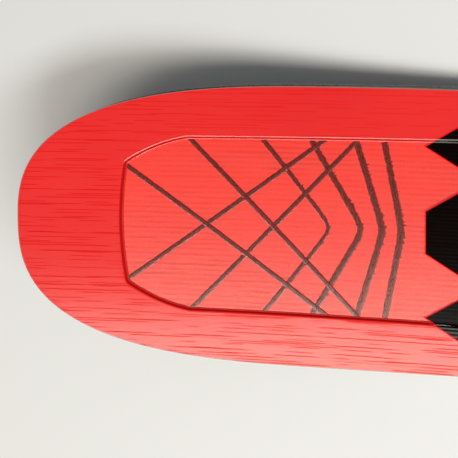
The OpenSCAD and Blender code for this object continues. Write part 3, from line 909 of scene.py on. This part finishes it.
def strand_fibre():
    """Black fibre soaked in red resin, with frayed sides; each strand is painted darker on one side as
    its shadow and paler on the other as light.
    """
    material, t, p = new_material(
        "resin_fibre_with_painted_light", Roughness=0.5, Specular_IOR_Level=0.1, Coat_Roughness=0.16,
        Coat_IOR=1.75)
    run = t.add("ShaderNodeAttribute", attribute_name="run").outputs["Vector"]
    pale = t.split(run)[2]
    fibre = t.noise(t.stretched(run, 0.25, 6.0), detail=3.0)
    speck = t.noise(t.place(), scale=1400.0)
    tone = t.maths("ADD", t.product(fibre, 0.5), t.product(speck, 0.5))
    colour = t.mix(t.ramp(tone, 0.4, 0.6), FIBRE_BLACK, FIBRE_BROWN)
    # painted shadow: darker towards the side away from the light
    colour = t.mix(t.ramp(pale, -1.0, -0.1, 0.7, 0.0), colour, FIBRE_PAINTED_SHADOW)
    # painted light: greyer towards the side that faces the light
    colour = t.mix(t.ramp(pale, 0.1, 1.0, 0.0, 0.4), colour, FIBRE_PAINTED_LIT)
    t.links.new(colour, p.inputs["Base Color"])
    t.links.new(t.ramp(speck, 0.42, 0.56, 0.6, 1.0), p.inputs["Coat Weight"])
    frayed = t.maths("ADD", t.mark("depth"), t.product(t.maths("SUBTRACT", speck, 0.5), 1.2))
    t.links.new(t.ramp(frayed, -0.02, 0.2), p.inputs["Alpha"])
    bump(t, p, fibre, 0.0000006)
    return material


def ground_steel():
    """Steel ground lengthwise, with faint stains."""
    material, t, p = new_material("ground_steel", Metallic=1.0, Roughness=0.3)
    place = t.place()
    lines = t.noise(t.stretched(place, 60.0, 5000.0, 5000.0), detail=3.0)
    stain = t.ramp(t.noise(place, detail=3.0, scale=40.0), 0.6, 0.8, 0.0, 0.3)
    bright = t.mix(t.ramp(lines, 0.3, 0.7), (0.50, 0.51, 0.53, 1), (0.66, 0.67, 0.68, 1))
    t.links.new(t.mix(stain, bright, (0.36, 0.34, 0.32, 1)), p.inputs["Base Color"])
    t.links.new(t.ramp(lines, 0.2, 0.8, 0.22, 0.42), p.inputs["Roughness"])
    bump(t, p, lines, 0.000008)
    return material


def planed_sidewall():
    """Black plastic planed lengthwise."""
    material, t, p = new_material("planed_sidewall", Roughness=0.5)
    plane = t.noise(t.stretched(t.place(), 25.0, 2500.0, 2500.0), detail=3.0)
    colour = t.mix(t.ramp(plane, 0.3, 0.7), (0.085, 0.085, 0.088, 1), (0.13, 0.13, 0.135, 1))
    t.links.new(colour, p.inputs["Base Color"])
    t.links.new(t.ramp(plane, 0.2, 0.8, 0.42, 0.6), p.inputs["Roughness"])
    bump(t, p, plane, 0.00002)
    return material


GRIND_SLANT, GRIND_PITCH = 0.12, 0.0016  # slant of the base's grooves, and their spacing in metres


def ground_base():
    """Black sintered plastic with a lengthwise and a slanting grind, and old wax."""
    material, t, p = new_material("ground_running_base", Roughness=0.45)
    place = t.place()
    x, y, _ = t.split(place)
    grooves = t.noise(t.stretched(place, 12.0, 2200.0))
    across = t.maths("ADD", y, t.product(x, GRIND_SLANT))
    slant = t.maths("SINE", t.product(across, TURN / GRIND_PITCH))
    cut = t.maths("ADD", grooves, t.product(slant, 0.15))
    wax = t.noise(place, detail=3.0, scale=14.0)
    colour = t.mix(t.ramp(wax, 0.35, 0.75), (0.026, 0.026, 0.029, 1), (0.048, 0.048, 0.052, 1))
    t.links.new(colour, p.inputs["Base Color"])
    t.links.new(t.ramp(cut, 0.3, 0.8, 0.34, 0.58), p.inputs["Roughness"])
    bump(t, p, cut, 0.00003)
    return material


def glass_laminate():
    """Glass cloth in clear resin."""
    material, t, p = new_material("glass_laminate", Roughness=0.35, Coat_Weight=0.5, Coat_Roughness=0.2)
    cloth = t.group(WEAVE, {"Place": t.place(), "Rib": 0.0016, "Cross": 0.0016})
    colour = t.mix(cloth["Rib mask"], (0.62, 0.60, 0.44, 1), (0.80, 0.79, 0.68, 1))
    t.links.new(colour, p.inputs["Base Color"])
    bump(t, p, cloth["Height"], 0.00003)
    return material


def rolled_metal():
    """Light metal with faint lines from rolling."""
    material, t, p = new_material("rolled_metal", Metallic=1.0, Roughness=0.34)
    lines = t.noise(t.stretched(t.place(), 20.0, 1800.0), detail=3.0)
    colour = t.mix(t.ramp(lines, 0.3, 0.7), (0.62, 0.63, 0.65, 1), (0.78, 0.79, 0.80, 1))
    t.links.new(colour, p.inputs["Base Color"])
    bump(t, p, lines, 0.00001)
    return material


def core_wood(name, pale, dark):
    """Planed wood with long grain and dark pores."""
    material, t, p = new_material(name, Roughness=0.55)
    place = t.place()
    rings = t.noise(t.stretched(place, 3.0, 160.0, 160.0), detail=4.0)
    pores = t.noise(t.stretched(place, 60.0, 2200.0, 2200.0))
    colour = t.mix(t.ramp(rings, 0.35, 0.65), pale, dark)
    colour = t.mix(t.ramp(pores, 0.62, 0.72, 0.0, 0.5), colour, PORE_BROWN)
    t.links.new(colour, p.inputs["Base Color"])
    bump(t, p, pores, 0.00005)
    return material


def moulded(name, colour, paler, rough):
    """Moulded plastic or rubber with a fine grain and a cloudy tone."""
    material, t, p = new_material(name, Roughness=rough)
    place = t.place()
    grain = t.noise(place, detail=3.0, scale=900.0)
    cloud = t.noise(place, scale=30.0)
    t.links.new(t.mix(t.ramp(cloud, 0.3, 0.7), colour, paler), p.inputs["Base Color"])
    t.links.new(t.ramp(grain, 0.3, 0.7, rough - 0.06, rough + 0.08), p.inputs["Roughness"])
    bump(t, p, grain, 0.00003)
    return material


FINISH = {
    "topsheet": red_skin(),
    "window_mat": window_mat(),
    "strand": strand_fibre(),
    "base": ground_base(),
    "edge_steel": ground_steel(),
    "sidewall": planed_sidewall(),
    "rubber": moulded("edge_rubber", (0.018, 0.018, 0.018, 1), (0.03, 0.03, 0.03, 1), 0.75),
    "laminate": glass_laminate(),
    "metal_sheet": rolled_metal(),
    "wood_light": core_wood("poplar", (0.66, 0.49, 0.30, 1), (0.52, 0.36, 0.20, 1)),
    "wood_dark": core_wood("beech", (0.46, 0.29, 0.16, 1), (0.36, 0.21, 0.11, 1)),
    "spacer": moulded("end_spacer", (0.030, 0.030, 0.033, 1), (0.048, 0.048, 0.052, 1), 0.5),
    "protector": rolled_metal(),
}
WINDOW_SKIN = window_skin()

# ---------------------------------------------------------------- pieces
FILM_LAP = 0.05  # how far the clear film runs in under the printed skin
CLEARANCE = 0.02  # between the mat and the frame's wall, and between the strands and the film
PROUD = even(SKI, EDGE_PROUD)

for row in frame["record"]["subparts"]:
    node = frame["nodes"][row["node"]]
    for held in node.material_slots:
        held.link = "OBJECT"
        held.material = FINISH[row["material_slot"]]

make_topsheet(FINISH["topsheet"])
film_edge = even(FRONT_WINDOW, STEP_IN + FLAT_BAND - FILM_LAP)
plate("topsheet_window", (MAT_TOP[0] + CLEARANCE, 1), FLOOR_TOP, [film_edge],
      WINDOW_SKIN, ["topsheet"])
plate("strand_mat_cloth", UPPER_TOP, STRAND_FLOOR, [even(FRONT_WINDOW, CLEARANCE)],
      FINISH["window_mat"], ["strand_mat"])
plate("running_base", UNDER, BASE_TOP, [even(SKI, EDGE_W)], FINISH["base"], ["base"])
plate("lower_laminate_cloth", SHEET_TOP, LOWER_TOP, [PROUD],
      FINISH["laminate"], ["lower_laminate"])
plate("upper_laminate_cloth", CORE_TOP, UPPER_TOP, [UPPER], FINISH["laminate"],
      ["upper_laminate"])
plate("tip_spacer_moulding", LOWER_TOP, CORE_TOP, [between(PROUD, 0, TIP_LEN)],
      FINISH["spacer"], ["tip_spacer"])
plate("tail_spacer_moulding", LOWER_TOP, CORE_TOP,
      [between(PROUD, LENGTH - TAIL_LEN, LENGTH - PROTECTOR_LEN)],
      FINISH["spacer"], ["tail_spacer"])
plate("tail_protector_block", LOWER_TOP, CORE_TOP, [between(PROUD, LENGTH - PROTECTOR_LEN, LENGTH)],
      FINISH["protector"], ["tail_protector"])
for side in (-1, 1):
    make_edge(side, FINISH["edge_steel"])
    make_sidewall(side, FINISH["sidewall"])

for hand, side, level in (("left", -1, LEFT_LEVEL), ("right", 1, RIGHT_LEVEL)):
    for reach, d0, half0, d1 in (("long", WINDOW_BOW, LONG_HALF, LONG_REACH),
                                 ("short", SHOULDER_RUN, SHOULDER_HALF, SHORT_REACH)):
        line = straight_line(side, WINDOW_AT + d0, half0, WINDOW_AT + d1)
        ribbon(f"strand_{reach}_{hand}", line, [STRAND_W] * len(line), level,
               FINISH["strand"], STRAIGHT_FRAY)
for number, ((ends, point, width), swell) in enumerate(zip(CHEVRONS, CHEVRON_SWELL), 1):
    line = chevron_line(ends, point)
    widths = [width * (CHEVRON_SHARE + swell * math.exp(-abs(y) / SWELL_REACH)) for _, y in line]
    ribbon(f"chevron_{number}", line, widths, CHEVRON_LEVEL, FINISH["strand"], CHEVRON_FRAY, HAIRS)

# ---------------------------------------------------------------- camera
# The camera leans from overhead towards the tail by TILT and to the right by SWING, and looks at AIM
TILT, SWING, ROLL = math.radians(30.0), math.radians(8.0), math.radians(-0.64)
AIM = Vector((88.0 - LENGTH / 2, -5.0, 10.0)) * MM
AWAY = 1.0  # distance from AIM in metres
LENS = 166.9  # focal length in millimetres

back = Vector((math.sin(TILT) * math.cos(SWING), math.sin(SWING), math.cos(TILT) * math.cos(SWING)))
right = Vector((0, 1, 0)).cross(back).normalized()
up = back.cross(right)
right, up = (right * math.cos(ROLL) + up * math.sin(ROLL),
             up * math.cos(ROLL) - right * math.sin(ROLL))
camera_data = bpy.data.cameras.new("camera")
camera_data.lens = LENS
camera_data.clip_start, camera_data.clip_end = 0.05, 200.0
camera = bpy.data.objects.new("camera", camera_data)
turned = Matrix((right, up, back)).transposed().to_4x4()
camera.matrix_world = Matrix.Translation(AIM + back * AWAY) @ turned
bpy.context.scene.collection.objects.link(camera)
bpy.context.scene.camera = camera

# ---------------------------------------------------------------- floor, light and air
FLOOR_REACH = 80.0


def make_floor():
    """A pale floor that can be seen through from below, so that the base shows."""
    r = FLOOR_REACH
    mesh = bpy.data.meshes.new("floor")
    mesh.from_pydata([(-r, -r, 0), (r, -r, 0), (r, r, 0), (-r, r, 0)], [], [(0, 1, 2, 3)])
    floor = bpy.data.objects.new("floor", mesh)
    material, t, p = new_material("pale_floor", Roughness=0.7)
    mottle = t.noise(t.place(), detail=3.0, scale=3.0)
    t.links.new(t.mix(mottle, (0.76, 0.76, 0.755, 1), (0.79, 0.79, 0.785, 1)), p.inputs["Base Color"])
    below = t.add("ShaderNodeNewGeometry").outputs["Backfacing"]
    clear = t.add("ShaderNodeBsdfTransparent").outputs[0]
    blend = t.add("ShaderNodeMixShader", {0: below, 1: p.outputs[0], 2: clear})
    t.links.new(blend.outputs[0], t.nodes["Material Output"].inputs["Surface"])
    mesh.materials.append(material)
    bpy.context.scene.collection.objects.link(floor)


def softbox(name, place, size, power, aim, tint):
    data = bpy.data.lights.new(name, "AREA")
    data.color = tint
    data.shape, data.size, data.size_y, data.energy = "RECTANGLE", size[0], size[1], power
    lamp = bpy.data.objects.new(name, data)
    lamp.location = place
    lamp.rotation_mode = "QUATERNION"
    lamp.rotation_quaternion = (Vector(place) - Vector(aim)).to_track_quat("Z", "Y")
    lamp.visible_camera = False
    bpy.context.scene.collection.objects.link(lamp)


make_floor()
# The strip box hangs over the tip and faces straight down: its mirror image is the haze on the rim.
softbox("strip_box", place=(-0.95, -0.585, 1.6), size=(1.3, 0.5), power=13.8,
        aim=(-0.95, -0.585, 0.0), tint=(1.0, 0.93, 0.80))
softbox("long_box", place=(0.55, -0.75, 1.6), size=(1.9, 0.5), power=38.0,
        aim=(0.3, 0.0, 0.0), tint=(1.0, 1.0, 1.0))

# Strength of the air as light, as seen by the camera, and what it has less in mirror rays
AIR_LIGHT, AIR_SEEN, AIR_DIMMED = 0.2, 0.7, 0.12
world = bpy.data.worlds.new("pale_air")
world.use_nodes = True
air = Tree(world.node_tree)
sky = air.nodes["Background"]
sky.inputs["Color"].default_value = (0.93, 0.94, 0.96, 1)
rays = air.add("ShaderNodeLightPath").outputs
seen = air.ramp(rays["Is Camera Ray"], 0.0, 1.0, AIR_LIGHT, AIR_SEEN)
mirrored = air.product(rays["Is Glossy Ray"], AIR_DIMMED)
air.links.new(air.maths("SUBTRACT", seen, mirrored), sky.inputs["Strength"])
bpy.context.scene.world = world
bpy.context.scene.view_settings.view_transform = "Standard"
